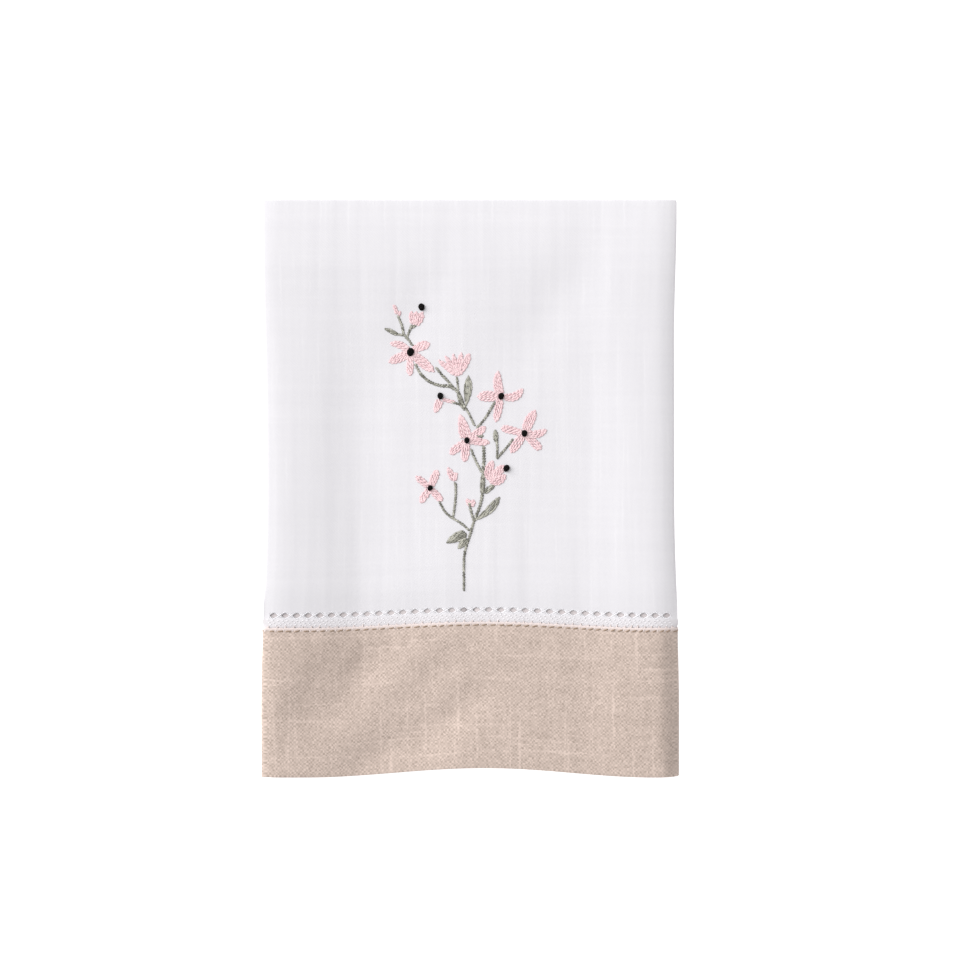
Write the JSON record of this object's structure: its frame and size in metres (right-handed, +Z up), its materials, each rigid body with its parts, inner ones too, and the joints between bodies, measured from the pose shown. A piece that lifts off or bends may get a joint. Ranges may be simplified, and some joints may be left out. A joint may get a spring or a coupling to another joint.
{
  "type": "hand towel",
  "caption": "White linen hand towel, its sides turned behind and folded over at the top, with a hemstitched natural linen border band and an embroidered blossom sprig.",
  "frame": {"origin": "middle of the folded towel's footprint, on the surface that it lies on", "axes": "+Z up, out of the embroidered face; +Y towards the top fold; +X to the right of the face"},
  "size_m": [0.1806, 0.25, 0.0099],
  "materials": {
    "white_linen": "bleached linen plain weave, matt, with fine slubs",
    "natural_linen": "unbleached linen, coarser plain weave, matt",
    "sage_floss": "stranded cotton in stem stitch, slight sheen",
    "pink_floss": "stranded cotton in rows of back stitch, slight sheen",
    "black_floss": "stranded cotton wound in French knots"
  },
  "bodies": {
    "root": {"blossom_high": "pink_floss", "blossom_low": "pink_floss", "blossom_middle": "pink_floss", "blossom_right": "pink_floss", "blossom_top": "pink_floss", "border_band": "natural_linen", "bud_fan": "pink_floss", "bud_left": "pink_floss", "bud_low": "pink_floss", "bud_right": "pink_floss", "bud_spike": "pink_floss", "bud_stem": "pink_floss", "bud_tip": "pink_floss", "knot_bud_left": "black_floss", "knot_bud_right": "black_floss", "knot_bud_tip": "black_floss", "knot_high": "black_floss", "knot_low": "black_floss", "knot_middle": "black_floss", "knot_right": "black_floss", "knot_top": "black_floss", "leaf_bud_right": "sage_floss", "leaf_foot_low": "sage_floss", "leaf_foot_near": "sage_floss", "leaf_foot_right": "sage_floss", "leaf_middle": "sage_floss", "leaf_upper": "sage_floss", "stem_blossom": "sage_floss", "stem_main": "sage_floss", "stem_right": "sage_floss", "stem_tip": "sage_floss", "stem_upper": "sage_floss", "white_body": "white_linen"}
  },
  "joints": []
}
